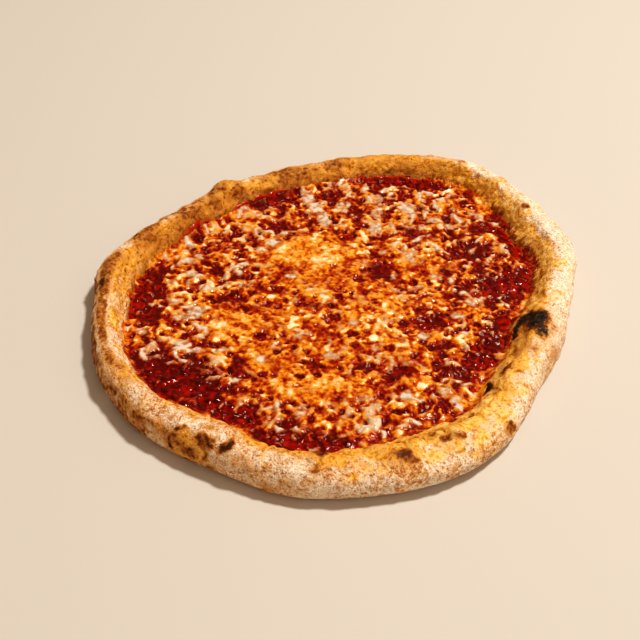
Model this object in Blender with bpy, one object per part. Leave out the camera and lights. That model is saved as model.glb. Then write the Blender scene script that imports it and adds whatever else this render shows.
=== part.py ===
"""A hand-stretched cheese pizza: baked dough with a puffed rim, tomato sauce, and a melted sheet of
shredded mozzarella. Each layer is its own closed solid, laid on the one below with a hair's gap.

Metres, degrees, +Z up. The origin is the middle of the pizza's box, at the surface it rests on,
and -Y is the side nearest the viewer."""

import math

import bmesh
import bpy
from mathutils import Vector, noise

# ---- Driving dimensions -------------------------------------------------------------------

HUB_PLACE = (0.0018, -0.00014, 0.0)  # the outline's radii are measured from this point
RADIUS = 0.133  # mean radius of the dough
OVAL = 0.011  # the long half-axis is this much over the mean, the short one as much under it
OVAL_ANGLE = 49.0  # direction of the long axis

BASE = 0.0045  # thickness of the dough under the toppings
RIM_HEIGHT = 0.0195
RIM_WIDTH = 0.022  # from the outer edge to the foot of the rim's inner slope
SAUCE = 0.0014  # thickness of the sauce
SAUCE_LIP = 0.0007  # thickness of the sauce where it thins out on the rim
SAUCE_LUMPS = 0.0006  # height of the lumps along its edge
SAUCE_LUMP_SIZE = 0.007
CHEESE = 0.0021  # mean thickness of the cheese
CHEESE_LIP = 0.0008  # thickness of the cheese along its free edges
CHEESE_LUMPS = 0.0013  # height of its relief
CHEESE_LUMP_SIZE = 0.016
CHEESE_RAGGED = 0.003  # how far its edge wanders
CHEESE_RAGGED_SIZE = 0.011
CHEESE_TAPER = 0.006  # distance over which its edge thickens
CHEESE_BARE = 0.0015  # mean width of the bare sauce between the rim's foot and the cheese
GAP = 0.0003  # between two layers

SEGMENTS = 120  # sections round the dough and the sauce
CHEESE_CELL = 0.0047  # side of one cell of the cheese's grid
CHEESE_REACH = 0.132  # half the side of the square that the cheese is cut from
EDGE_PASSES = 5  # smoothing passes along the cheese's edge

# Each swell is (middle angle, spread, amount): a smooth bump round the rim.
OUTLINE_SWELLS = (
    (57, 12, 0.007),
    (22, 7, 0.005),
    (-2, 12, -0.007),
    (-28, 10, -0.005),
    (-62, 15, 0.007),
    (-116, 9, -0.006),
    (-133, 12, -0.003),
    (104, 14, -0.006),
    (128, 10, -0.003),
    (174, 9, 0.006),
    (148, 9, -0.002),
)
WIDTH_SWELLS = (
    (-68, 15, 0.014),
    (-122, 9, 0.007),
    (-36, 8, 0.006),
    (-11, 9, 0.010),
    (18, 12, 0.006),
    (36, 10, 0.004),
    (-95, 10, 0.003),
    (82, 22, -0.003),
    (-160, 10, -0.003),
)
HEIGHT_SWELLS = (
    (-14, 10, 0.003),
    (-60, 18, -0.001),
    (-125, 20, 0.001),
    (165, 14, 0.0015),
    (35, 18, 0.0015),
    (88, 24, -0.002),
)
# The sauce climbs the rim's inner slope up to this share of the way across it.
SAUCE_EDGE = 0.89
SAUCE_EDGE_SWELLS = (
    (84, 26, -0.11),
    (126, 13, -0.15),
    (153, 10, -0.20),
    (43, 6, -0.07),
    (-150, 12, -0.06),
    (-95, 12, -0.05),
)
SAUCE_EDGE_STEP = 0.02  # least spacing of the sauce's rings on the slope, as a share of the rim
# The baked edge curls up off the table here.
LIFT_SWELLS = ((-72, 14, 0.0018), (60, 12, 0.0012), (150, 10, 0.0010))

# Blisters of the rim: (angle, share of the way across the rim, radius, height).
BLISTERS = (
    (131, 0.36, 0.0085, 0.0050),
    (-15, 0.50, 0.0120, 0.0022),
    (179, 0.40, 0.0120, 0.0020),
    (-61, 0.42, 0.0090, 0.0022),
    (-76, 0.36, 0.0080, 0.0020),
    (-94, 0.56, 0.0070, 0.0020),
    (-120, 0.22, 0.0120, 0.0016),
    (-113, 0.24, 0.0060, 0.0012),
    (-44, 0.44, 0.0075, -0.0022),
    (-34, 0.52, 0.0080, 0.0015),
    (38, 0.40, 0.0090, 0.0018),
    (59, 0.45, 0.0080, 0.0014),
    (163, 0.48, 0.0060, 0.0012),
    (-149, 0.40, 0.0090, 0.0012),
)
BLISTER_LOW = 0.4  # below this share of its height the rim is smoother
BLISTER_END = 0.66  # past this share of the way across, the rim is smooth for the sauce
BLISTER_FADE = 0.12
RIM_ROUGHNESS = 0.0007  # low, wide unevenness of the rim
RIM_ROUGHNESS_SIZE = 0.022

# Bare patches of sauce in the cheese: (x, y from the hub, half length, half width, direction).
BARE_PATCHES = (
    (-0.083, -0.068, 0.028, 0.012, -35),
    (-0.112, -0.011, 0.010, 0.012, 90),
    (-0.106, 0.013, 0.014, 0.008, 100),
    (-0.099, 0.059, 0.017, 0.009, 55),
    (-0.052, 0.095, 0.022, 0.009, 25),
    (0.030, 0.121, 0.040, 0.009, 0),
    (-0.012, 0.117, 0.016, 0.005, 10),
    (0.101, 0.058, 0.022, 0.006, 105),
    (0.094, 0.021, 0.017, 0.013, -10),
    (0.083, -0.022, 0.018, 0.008, 60),
    (0.069, -0.038, 0.010, 0.009, 40),
    (0.064, -0.056, 0.018, 0.007, 0),
    (0.108, 0.036, 0.010, 0.007, 90),
    (-0.024, -0.104, 0.021, 0.008, -5),
    (0.003, -0.106, 0.009, 0.007, 0),
    (-0.050, -0.090, 0.013, 0.007, -25),
    (0.020, 0.027, 0.009, 0.008, 20),
    (0.026, -0.054, 0.008, 0.006, 70),
    (0.042, -0.014, 0.007, 0.006, 0),
)

# The rim's section, from the table round the outside to the foot of the inner slope. Each point
# is (share of the way across the rim, share of the way up from the floor, the floor itself).
CREST = 0.40
OUTER_WALL = (
    (0.27, 0.00, 0.0),
    (0.13, 0.05, 0.0),
    (0.04, 0.19, 0.0),
    (0.00, 0.40, 0.0),
    (0.03, 0.62, 0.0),
    (0.11, 0.82, 0.0),
    (0.24, 0.95, 0.0),
    (CREST, 1.00, 0.0),
)
INNER_SLOPE = (
    (0.53, 0.95, BASE),
    (0.66, 0.78, BASE),
    (0.79, 0.49, BASE),
    (0.90, 0.20, BASE),
    (1.00, 0.00, BASE),
)
HUB = 2.0  # "across" runs 0 at the outer edge, 1 at the slope's foot and 2 at the hub

COLORS = {
    "crust": ((0.60, 0.33, 0.13), 0.75),
    "sauce": ((0.30, 0.02, 0.01), 0.25),
    "cheese": ((0.80, 0.36, 0.10), 0.35),
}


# ---- The dough's form ---------------------------------------------------------------------


def swell(angle, table):
    """Sum at an angle of a table's smooth bumps."""
    total = 0.0
    for middle, spread, amount in table:
        turn = (angle - middle + 180.0) % 360.0 - 180.0
        total += amount * math.exp(-0.5 * (turn / spread) ** 2)
    return total


def outer_radius(angle):
    oval = OVAL * math.cos(math.radians(2.0 * (angle - OVAL_ANGLE)))
    return RADIUS + oval + swell(angle, OUTLINE_SWELLS)


def rim_width(angle):
    return RIM_WIDTH + swell(angle, WIDTH_SWELLS)


def rim_height(angle):
    return RIM_HEIGHT + swell(angle, HEIGHT_SWELLS)


def radius_at(across, angle):
    """Distance from the hub at a share of the way across the rim, or past its foot towards the hub."""
    outer = outer_radius(angle)
    width = rim_width(angle)
    if across <= 1.0:
        return outer - across * width
    return (outer - width) * (HUB - across)


def rise(share, floor, angle):
    return floor + (rim_height(angle) - floor) * share


def dough_top(across, angle):
    """Height of the dough's upper side, from the crest of the rim inwards."""
    if across >= 1.0:
        return BASE
    inner = ((CREST, 1.0, BASE),) + INNER_SLOPE
    for (near, high, floor), (far, low, _) in zip(inner, inner[1:]):
        if across <= far:
            step = (across - near) / (far - near)
            return rise(high + (low - high) * step, floor, angle)
    return BASE


def sauce_edge(angle):
    return SAUCE_EDGE + swell(angle, SAUCE_EDGE_SWELLS)


def angle_of(spot):
    return math.degrees(math.atan2(spot.y, spot.x))


def across_of(spot):
    """The share of the way across the rim at a point on plan, over 1 inside the slope's foot."""
    angle = angle_of(spot)
    return (outer_radius(angle) - spot.length) / rim_width(angle)


def on_plan(radius, angle):
    """The point at a distance and angle from the hub."""
    turn = math.radians(angle)
    return Vector((radius * math.cos(turn), radius * math.sin(turn), 0.0))


# ---- Making solids ------------------------------------------------------------------------


def turned(stations, place):
    """A closed bmesh turned from as many stations as given, whose first and last lie on the axis.

    place(station, angle) then gives each vertex its distance from the hub and its height."""
    bm = bmesh.new()
    ring = bm.verts.layers.int.new("ring")
    section = []
    for index in range(len(stations)):
        on_axis = index in (0, len(stations) - 1)
        vert = bm.verts.new((0.0 if on_axis else RADIUS, 0.0, 0.001 * index))
        vert[ring] = index
        section.append(vert)
    edges = [bm.edges.new(pair) for pair in zip(section, section[1:])]
    bmesh.ops.spin(
        bm,
        geom=section + edges,
        cent=(0, 0, 0),
        axis=(0, 0, 1),
        angle=math.tau,
        steps=SEGMENTS,
        use_merge=True,
    )
    bmesh.ops.remove_doubles(bm, verts=bm.verts, dist=0.00001)
    for vert in bm.verts:
        angle = angle_of(vert.co)
        radius, height = place(stations[vert[ring]], angle)
        vert.co = on_plan(radius, angle)
        vert.co.z = height
    return bm


def into_object(bm, name, collection):
    """Turns the bmesh's faces outwards, sets it in place and makes it an object with a material."""
    bmesh.ops.recalc_face_normals(bm, faces=bm.faces)
    bmesh.ops.translate(bm, verts=bm.verts, vec=HUB_PLACE)
    mesh = bpy.data.meshes.new(name)
    bm.to_mesh(mesh)
    bm.free()
    mesh.shade_smooth()
    color, roughness = COLORS[name]
    material = bpy.data.materials.new(name)
    material.use_nodes = True
    shader = material.node_tree.nodes["Principled BSDF"]
    shader.inputs["Base Color"].default_value = (*color, 1.0)
    shader.inputs["Roughness"].default_value = roughness
    mesh.materials.append(material)
    obj = bpy.data.objects.new(name, mesh)
    collection.objects.link(obj)
    return obj


# ---- Crust --------------------------------------------------------------------------------


def crust_place(station, angle):
    across, share, floor = station
    return radius_at(across, angle), rise(share, floor, angle)


def blistering(across, angle):
    """How far the rim's skin stands out here: its blisters and its low unevenness."""
    spot = on_plan(radius_at(across, angle), angle)
    out = RIM_ROUGHNESS * noise.noise(spot / RIM_ROUGHNESS_SIZE)
    for middle, way, size, height in BLISTERS:
        center = on_plan(radius_at(way, middle), middle)
        out += height * math.exp(-(((spot - center).length / size) ** 2))
    return out


def make_crust(collection):
    """Dough: flat below, a puffed rim of uneven width and height, and a thin flat base."""
    stations = [(HUB, 0.0, 0.0), *OUTER_WALL, *INNER_SLOPE, (HUB, 0.0, BASE)]
    bm = turned(stations, crust_place)
    ring = bm.verts.layers.int["ring"]
    bmesh.ops.recalc_face_normals(bm, faces=bm.faces)
    bm.normal_update()
    moves = {}
    for vert in bm.verts:
        across, share, _ = stations[vert[ring]]
        if across >= BLISTER_END:
            continue
        angle = angle_of(vert.co)
        fade = min(1.0, share / BLISTER_LOW) * min(1.0, (BLISTER_END - across) / BLISTER_FADE)
        moves[vert] = vert.normal * blistering(across, angle) * fade
        if across < CREST and share > 0.0:
            moves[vert].z += swell(angle, LIFT_SWELLS) * (1.0 - across / CREST) ** 2
    for vert, move in moves.items():
        vert.co += move
    return into_object(bm, "crust", collection)


# ---- Sauce --------------------------------------------------------------------------------


def sauce_top(across, angle):
    """Height of the sauce's upper side over the flat base and up the rim's slope."""
    edge = sauce_edge(angle)
    fullness = min(1.0, (across - edge) / (1.0 - edge))
    return dough_top(across, angle) + GAP + SAUCE_LIP + (SAUCE - SAUCE_LIP) * fullness


def sauce_place(station, angle):
    across, rank, upper = station
    across = max(across, sauce_edge(angle) + rank * SAUCE_EDGE_STEP)
    radius = radius_at(across, angle)
    if not upper:
        return radius, dough_top(across, angle) + GAP
    height = sauce_top(across, angle)
    if across < 1.0:
        height += SAUCE_LUMPS * abs(noise.noise(on_plan(radius, angle) / SAUCE_LUMP_SIZE))
    return radius, height


def make_sauce(collection):
    """Tomato sauce: a thin disc over the whole base, its edge run a little way up the rim."""
    slope = [across for across, _, _ in INNER_SLOPE if across > BLISTER_END]
    rings = list(enumerate([0.0, *slope, HUB]))
    below = [(across, rank, False) for rank, across in reversed(rings)]
    above = [(across, rank, True) for rank, across in rings]
    bm = turned(below + above, sauce_place)
    return into_object(bm, "sauce", collection)


# ---- Cheese -------------------------------------------------------------------------------


def cover(spot):
    """How far inside the cheese's edge a point on plan is, negative on bare sauce."""
    inside = radius_at(1.0, angle_of(spot)) - spot.length - CHEESE_BARE
    for middle_x, middle_y, length, width, direction in BARE_PATCHES:
        turn = math.radians(direction)
        aim = Vector((math.cos(turn), math.sin(turn), 0.0))
        off = spot - Vector((middle_x, middle_y, 0.0))
        away = math.hypot(off.dot(aim) / length, off.cross(aim).z / width) - 1.0
        inside = min(inside, away * width)
    return inside + CHEESE_RAGGED * noise.noise(spot / CHEESE_RAGGED_SIZE)


def lumps(spot):
    """Relief of the melted shreds, about -1 to 1."""
    wide = noise.noise(spot / CHEESE_LUMP_SIZE)
    fine = noise.noise(spot / CHEESE_LUMP_SIZE * 2.0)
    return wide + 0.8 * fine


def cheese_floor(spot):
    """Height that the cheese's underside lies at: flat, and up the sauce where it meets the slope."""
    across = across_of(spot)
    if across >= 1.0:
        return BASE + GAP + SAUCE + GAP
    return sauce_top(across, angle_of(spot)) + SAUCE_LUMPS + GAP


def loose_corners(bm):
    """Vertices where two patches of faces meet in a point only."""
    return [v for v in bm.verts if sum(e.is_boundary for e in v.link_edges) > 2]


def keep_largest(bm):
    """Drops every patch of faces but the largest."""
    left = set(bm.faces)
    patches = []
    while left:
        patch = {left.pop()}
        front = list(patch)
        while front:
            face = front.pop()
            for edge in face.edges:
                for other in edge.link_faces:
                    if other in left:
                        left.discard(other)
                        patch.add(other)
                        front.append(other)
        patches.append(patch)
    patches.sort(key=len)
    scraps = [face for patch in patches[:-1] for face in patch]
    bmesh.ops.delete(bm, geom=scraps, context="FACES")


def make_cheese(collection):
    """Melted cheese: a lumpy sheet with a ragged edge and holes, cut from a square grid."""
    cells = round(2.0 * CHEESE_REACH / CHEESE_CELL)
    bm = bmesh.new()
    bmesh.ops.create_grid(bm, x_segments=cells, y_segments=cells, size=CHEESE_REACH)
    bare = [face for face in bm.faces if cover(face.calc_center_median()) < 0.0]
    bmesh.ops.delete(bm, geom=bare, context="FACES")
    while loose_corners(bm):
        corner = loose_corners(bm)[0]
        bmesh.ops.delete(bm, geom=list(corner.link_faces), context="FACES")
    keep_largest(bm)
    edge = [vert for vert in bm.verts if vert.is_boundary]
    for _ in range(EDGE_PASSES):
        bmesh.ops.smooth_vert(bm, verts=edge, factor=0.5, use_axis_x=True, use_axis_y=True)
    underside = bm.verts[:]
    sheet = bmesh.ops.extrude_face_region(bm, geom=bm.faces[:])
    for vert in underside:
        vert.co.z = cheese_floor(vert.co.xy.to_3d())
    for vert in sheet["geom"]:
        if isinstance(vert, bmesh.types.BMVert):
            spot = vert.co.xy.to_3d()
            inner = min(1.0, max(0.0, cover(spot) / CHEESE_TAPER))
            body = CHEESE + CHEESE_LUMPS * lumps(spot)
            vert.co.z = cheese_floor(spot) + CHEESE_LIP + max(0.0, body - CHEESE_LIP) * inner
    return into_object(bm, "cheese", collection)


# ---- The pizza ----------------------------------------------------------------------------

for leftover in list(bpy.data.objects):
    bpy.data.objects.remove(leftover, do_unlink=True)

pizza = bpy.data.collections.new("cheese_pizza")
bpy.context.scene.collection.children.link(pizza)
for make in (make_crust, make_sauce, make_cheese):
    made = make(pizza)
    print(made.name, len(made.data.polygons), "faces")
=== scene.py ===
# %% [markdown]
# # A cheese pizza, layer by layer
#
# The real thing is three layers that were baked together: a hand-stretched dough with a puffed rim,
# a ladle of tomato sauce spread out to the rim, and shredded mozzarella that melted into a sheet
# with gaps. The solids of the three layers give the form. Here each layer is made again with a
# surface fine enough for blisters, pulp and shreds, in the place that its solid holds.

# %% Load the solids that the looks are fitted to
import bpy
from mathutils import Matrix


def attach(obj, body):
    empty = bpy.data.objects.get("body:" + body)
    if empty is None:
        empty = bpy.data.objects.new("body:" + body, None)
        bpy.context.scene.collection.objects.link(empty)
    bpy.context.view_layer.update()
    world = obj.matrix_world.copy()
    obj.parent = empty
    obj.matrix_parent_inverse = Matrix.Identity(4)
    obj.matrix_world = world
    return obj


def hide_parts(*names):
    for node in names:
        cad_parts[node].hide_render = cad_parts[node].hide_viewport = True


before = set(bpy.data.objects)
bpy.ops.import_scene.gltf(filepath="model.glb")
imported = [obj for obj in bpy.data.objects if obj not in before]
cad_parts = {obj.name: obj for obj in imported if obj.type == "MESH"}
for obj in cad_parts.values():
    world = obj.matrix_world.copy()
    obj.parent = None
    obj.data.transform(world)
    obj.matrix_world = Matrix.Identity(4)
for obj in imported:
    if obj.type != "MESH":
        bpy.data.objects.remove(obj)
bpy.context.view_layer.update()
print("nodes", sorted(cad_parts))

# %% Tools, and a millimetre
import math
import random

import bmesh
import bpy
import numpy as np
from mathutils import Matrix, Vector, noise

MM = 0.001

# %% [markdown]
# ## Camera
#
# The pizza is seen from the front and above, a little rolled. A long lens from about 60 cm gives the
# mild perspective. The camera is made first, so that every step after it can be judged in the view.

# %% Camera: places in metres, roll in degrees, lens and sensor in mm
CAMERA_PLACE = Vector((-0.01067, -0.45586, 0.41215))
CAMERA_AIM = Vector((-0.01067, -0.00844, 0.0))
CAMERA_ROLL = 3.05
CAMERA_LENS = 62.3
CAMERA_SENSOR = 36.0


def add_camera():
    camera = bpy.data.objects.new("camera", bpy.data.cameras.new("camera"))
    bpy.context.scene.collection.objects.link(camera)
    turn = (CAMERA_AIM - CAMERA_PLACE).to_track_quat("-Z", "Y").to_matrix().to_4x4()
    roll = Matrix.Rotation(math.radians(CAMERA_ROLL), 4, "Z")
    camera.matrix_world = Matrix.Translation(CAMERA_PLACE) @ turn @ roll
    camera.data.lens = CAMERA_LENS
    camera.data.sensor_width = CAMERA_SENSOR
    bpy.context.scene.camera = camera
    return camera


print("camera", [round(value, 3) for value in add_camera().location])

# %% [markdown]
# ## The dough's form
#
# A pizza stretched by hand is round only on average. Its outline, the width of its rim and the
# rim's height all swell and shrink with the angle, so each is a mean value plus a few smooth bumps.
# "Across" runs 0 at the outer edge, 1 at the foot of the rim's inner slope and 2 at the hub. A bump is
# written as its middle angle, its spread and its amount.

# %% Outline, width and height of the rim, in millimetres and degrees
HUB = Vector((1.8, -0.14, 0.0)) * MM
RADIUS = 133.0
OVAL = 11.0
OVAL_ANGLE = 49.0
BASE = 4.5
RIM_HEIGHT = 19.5
RIM_WIDTH = 22.0
OUTLINE_SWELLS = (
    (57, 12, 7), (22, 7, 5), (-2, 12, -7), (-28, 10, -5), (-62, 15, 7), (-116, 9, -6),
    (-133, 12, -3), (104, 14, -6), (128, 10, -3), (174, 9, 6), (148, 9, -2),
)
WIDTH_SWELLS = (
    (-68, 15, 14), (-122, 9, 7), (-36, 8, 6), (-11, 9, 10), (18, 12, 6), (36, 10, 4),
    (-95, 10, 3), (82, 22, -3), (-160, 10, -3),
)
HEIGHT_SWELLS = (
    (-14, 10, 3), (-60, 18, -1), (-125, 20, 1), (165, 14, 1.5), (35, 18, 1.5), (88, 24, -2),
)
# The sauce climbs the inner slope up to this share of the way across the rim.
SAUCE_EDGE = 0.94
SAUCE_EDGE_SWELLS = (
    (80, 18, -0.07), (124, 9, -0.16), (149, 6, -0.18), (-38, 10, 0.04), (108, 8, -0.08),
    (-105, 8, -0.05),
)
print("rim", RIM_WIDTH, "mm wide and", RIM_HEIGHT, "mm high on average")


# %% From an angle to the rim's form, and from radius to across and back
def swell(angle, bumps):
    """Sum at each angle of smooth bumps: (middle angle, spread, amount)."""
    total = np.zeros(np.shape(angle))
    for middle, spread, amount in bumps:
        turn = (angle - middle + 180.0) % 360.0 - 180.0
        total = total + amount * np.exp(-0.5 * (turn / spread) ** 2)
    return total


def outer_radius(angle):
    oval = OVAL * np.cos(np.radians(2.0 * (angle - OVAL_ANGLE)))
    return RADIUS + oval + swell(angle, OUTLINE_SWELLS)


def rim_width(angle):
    return RIM_WIDTH + swell(angle, WIDTH_SWELLS)


def rim_height(angle):
    return RIM_HEIGHT + swell(angle, HEIGHT_SWELLS)


def radius_at(across, angle):
    outer = outer_radius(angle)
    width = rim_width(angle)
    return np.where(across <= 1.0, outer - across * width, (outer - width) * (2.0 - across))


def across_at(radius, angle):
    """The same the other way round: how far across a point at this radius lies."""
    outer = outer_radius(angle)
    width = rim_width(angle)
    return np.where(radius >= outer - width, (outer - radius) / width, 2.0 - radius / (outer - width))


def about_hub(spots):
    """Distance and angle in degrees from the hub, for rows of x, y, z."""
    return np.hypot(spots[:, 0], spots[:, 1]), np.degrees(np.arctan2(spots[:, 1], spots[:, 0]))


print("outline", outer_radius(np.arange(0.0, 360.0, 45.0)).round(1), "mm")

# %% [markdown]
# ## The rim's section
#
# The section starts under the rim, rolls up round the outside to the crest, and comes down the inner
# slope to the flat base. The solid joins its points with straight lines. A smooth curve through the
# same points gives the soft puffed dough.

# %% Section points: (across, share of the way up from the floor, the floor)
CREST = 0.40
OUTER_WALL = (
    (0.27, 0.00, 0.0), (0.13, 0.05, 0.0), (0.04, 0.19, 0.0), (0.00, 0.40, 0.0),
    (0.03, 0.62, 0.0), (0.11, 0.82, 0.0), (0.24, 0.95, 0.0), (CREST, 1.00, 0.0),
)
INNER_SLOPE = (
    (0.53, 0.95, BASE), (0.66, 0.78, BASE), (0.79, 0.49, BASE), (0.90, 0.20, BASE),
    (1.00, 0.00, BASE), (1.03, 0.00, BASE),
)
SPLITS = 6


def smooth_through(points, splits):
    """Each stretch between two points split evenly along a curve that passes through them all."""
    points = np.array(points)
    ends = np.vstack([2 * points[0] - points[1], points, 2 * points[-1] - points[-2]])
    step = np.linspace(0.0, 1.0, splits, endpoint=False)[:, None]
    curve = []
    for a, b, c, d in zip(ends, ends[1:], ends[2:], ends[3:]):
        bend = (2 * a - 5 * b + 4 * c - d) * step**2 + (3 * b - a - 3 * c + d) * step**3
        curve.append(0.5 * (2 * b + (c - a) * step + bend))
    return np.vstack([*curve, points[-1:]])


under_edge = (0.45, 0.0, 0.0)
section = smooth_through((under_edge, *OUTER_WALL, *INNER_SLOPE), SPLITS)[SPLITS:]
# The curve swings a little past its points, and this keeps it over the floor and near the crest.
section[:, 1] = section[:, 1].clip(0.0, 1.01)
crest_row = SPLITS * (len(OUTER_WALL) - 1)
print("section of", len(section), "points, crest at", crest_row)


# %% Height of the dough
def dough_height(across, angle):
    """Height of the dough's upper side in mm, from the crest inwards."""
    inner = section[crest_row:]
    share = np.interp(across, inner[:, 0], inner[:, 1])
    floor = np.interp(across, inner[:, 0], inner[:, 2])
    return floor + (rim_height(angle) - floor) * share


down_the_slope = np.array([CREST, 0.7, 1.0])
print("crest, slope and base", dough_height(down_the_slope, np.zeros(3)).round(1), "mm high")

# %% [markdown]
# ## Unevenness
#
# Baked food is uneven at every size, so most steps below add smooth noise. `ripple` gives waves of
# a size in millimetres, and `billow` gives round lumps with creases between them.

# %% Noise in millimetres
def ripple(spots, size, layer=0.0):
    """Smooth noise from about -1 to 1, with waves about `size` mm across."""
    sample = noise.noise
    return np.array([sample((x / size, y / size, z / size + layer)) for x, y, z in spots.tolist()])


def billow(spots, size, layer=0.0):
    """Round lumps from 0 in the creases to about 1."""
    return np.minimum(1.0, 2.2 * np.abs(ripple(spots, size, layer)))


def ease(values, low, high):
    """0 below low, 1 above high, and a soft step between."""
    step = ((values - low) / (high - low)).clip(0.0, 1.0)
    return step * step * (3.0 - 2.0 * step)


def mix(a, b, share):
    return a + (b - a) * share


def wandered(spots, size, amount, layer):
    """The same places, each led astray a little, so that what is drawn there loses its straight edges."""
    drift = np.stack([ripple(spots, size, layer + step) for step in (0.0, 41.0, 83.0)], axis=1)
    return spots + amount * drift


few = np.array([(0.0, 0.0, 0.0), (3.0, 0.0, 0.0), (6.0, 0.0, 0.0)])
print("lumps 10 mm wide, at three places", billow(few, 10.0).round(2))

# %% [markdown]
# ## From working mesh to finished piece
#
# Every piece is worked on round the hub in millimetres. This step turns its faces outwards, brings
# it to metres in its place, hangs it under the root, and hides the solid that it stands for.

# %% Finish a piece
def spots_of(bm):
    return np.array([vert.co[:] for vert in bm.verts])


def paint(bm, name, values):
    """Keeps one number a vertex under a name that the material reads."""
    layer = bm.verts.layers.float.get(name) or bm.verts.layers.float.new(name)
    for vert, value in zip(bm.verts, np.asarray(values, float).tolist()):
        vert[layer] = value


def finish_piece(bm, name, material, node):
    bmesh.ops.recalc_face_normals(bm, faces=bm.faces)
    bmesh.ops.scale(bm, verts=bm.verts, vec=(MM, MM, MM))
    bmesh.ops.translate(bm, verts=bm.verts, vec=HUB)
    mesh = bpy.data.meshes.new(name)
    bm.to_mesh(mesh)
    bm.free()
    mesh.shade_smooth()
    mesh.materials.append(material)
    piece = bpy.data.objects.new(name, mesh)
    bpy.context.scene.collection.objects.link(piece)
    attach(piece, "root")
    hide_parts(node)
    mesh.calc_loop_triangles()
    print(name, len(mesh.loop_triangles), "triangles")


print("pieces go round", [round(value / MM, 2) for value in HUB], "mm")

# %% [markdown]
# ## Materials
#
# Colours are picked as sRGB hex values, as on a screen, and turned to linear light by one function.
# One more function adds a node with its settings and links, so that a material reads top to bottom.

# %% Colour and node helpers
def linear(hex_color):
    channels = [int(hex_color[place:place + 2], 16) / 255.0 for place in (1, 3, 5)]
    light = [c / 12.92 if c <= 0.04045 else ((c + 0.055) / 1.055) ** 2.4 for c in channels]
    return (*light, 1.0)


def start_material(name):
    material = bpy.data.materials.new(name)
    material.use_nodes = True
    material.node_tree.nodes.clear()
    return material, material.node_tree


def add(tree, kind, inputs=None, stops=None, **settings):
    """Adds a shader node. An input is a value or another node's socket, and stops fill a ramp.

    An input goes by its name, or by its number where several share one, as a Math node's do. The
    two colours of a Mix node are 6 and 7, and its result is output 2.
    """
    made = tree.nodes.new("ShaderNode" + kind)
    for name, value in settings.items():
        setattr(made, name, value)
    for name, value in (inputs or {}).items():
        if isinstance(value, bpy.types.NodeSocket):
            tree.links.new(value, made.inputs[name])
        else:
            made.inputs[name].default_value = value
    for index, (place, color) in enumerate(stops or ()):
        spots = made.color_ramp.elements
        stop = spots[index] if index < 2 else spots.new(place)
        stop.position = place
        stop.color = linear(color)
    return made


def per_mm(size):
    """The scale that gives a pattern on Object coordinates waves of this many millimetres."""
    return 1.0 / (size * MM)


def shades(*colors):
    """Stops of a ramp from shade to light, over the range that noise fills, 0.3 to 0.7."""
    last = len(colors) - 1
    return [(0.3 + 0.4 * index / last, color) for index, color in enumerate(colors)]


print("cream in linear light", [round(channel, 3) for channel in linear("#f0dcc0")[:3]])

# %% [markdown]
# ### Baked dough
#
# Flour-dusted dough browns in the oven: the flour stays cream and matt, the bare skin turns tan, the
# thin inner slope toasts golden where steam and oil reach it, and blisters scorch. The mesh says how
# much of each there is, and noise breaks it up. Flour is too fine to show in the picture, so it is
# drawn as the clusters in which it clings, 1 to 2 mm wide.
# Part of the brown is painted shade, and part of the gold is painted light on slopes in shade.

# %% One colour laid over another
def layer_color(tree, below, color, amount, grain, spread, edge):
    """Lays a colour over another where amount, broken up by grain, is over a half."""
    shift = add(tree, "Math", {0: grain, 1: 0.5}, operation="SUBTRACT")
    broken = add(tree, "Math", {0: shift.outputs[0], 1: spread, 2: amount}, operation="MULTIPLY_ADD")
    mask = add(
        tree, "MapRange",
        {"Value": broken.outputs[0], "From Min": 0.5 - edge, "From Max": 0.5 + edge},
        interpolation_type="SMOOTHSTEP",
    )
    over = add(tree, "Mix", {0: mask.outputs[0], 6: below, 7: color}, data_type="RGBA")
    return over.outputs[2]


# %% Baked dough: sizes of its patches, of the clusters of flour and of the pores, in mm
PATCH = 6.0
CLUSTER = 2.0
PORE = 0.9
SKIN_DEPTH = 0.6


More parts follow.
